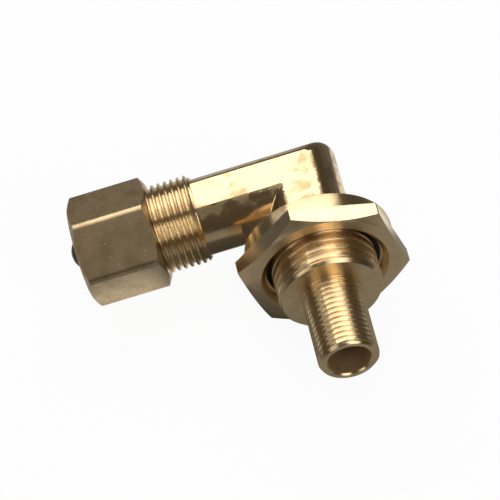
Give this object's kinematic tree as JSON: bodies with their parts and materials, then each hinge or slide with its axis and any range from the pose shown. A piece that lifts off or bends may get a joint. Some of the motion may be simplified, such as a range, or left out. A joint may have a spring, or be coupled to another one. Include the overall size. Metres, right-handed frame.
{
  "type": "elbow fitting",
  "caption": "Brass bulkhead elbow fitting: a compression joint for a tube on one arm, and a threaded stem with lock nut and a male nipple on the other.",
  "frame": {"origin": "centre of the collar's front face, where the panel seats, on the axis of the stem and nipple", "axes": "-Y along the nipple, away from the elbow; -X along the tube arm, out of the compression nut; +Z square to the elbow's flat sides"},
  "size_m": [0.0511, 0.0433, 0.027],
  "materials": {
    "forged_brass": "forged skin, turned and polished at the ends",
    "lock_nut_brass": "turned and milled, semi-bright",
    "compression_nut_brass": "drawn bar, satin",
    "sleeve_brass": "turned, semi-bright",
    "plug_rubber": "moulded, smooth"
  },
  "bodies": {
    "elbow": {"elbow_body": "forged_brass"},
    "lock_ring": {"lock_nut": "lock_nut_brass"},
    "sleeve": {"compression_sleeve": "sleeve_brass"},
    "tube_nut": {"compression_nut": "compression_nut_brass"},
    "plug": {"tube_plug": "plug_rubber"}
  },
  "joints": [
    {"name": "lock_nut_travel", "type": "slide", "parent": "elbow", "child": "lock_ring", "axis": [0, -1, 0], "range_m": [0, 0.0075]},
    {"name": "sleeve_travel", "type": "slide", "parent": "elbow", "child": "sleeve", "axis": [-1, 0, 0], "range_m": [0, 0.0048]},
    {"name": "nut_turn", "type": "hinge", "parent": "sleeve", "child": "tube_nut", "pos_m": [-0.03, 0.0143, 0], "axis": [-1, 0, 0], "range_deg": [0, 1620]},
    {"name": "plug_pull", "type": "slide", "parent": "sleeve", "child": "plug", "axis": [-1, 0, 0], "range_m": [0, 0.05]}
  ],
  "couplings": [
    {"joint": "sleeve_travel", "follows": "nut_turn", "m_per_rad": 0.00016844}
  ]
}
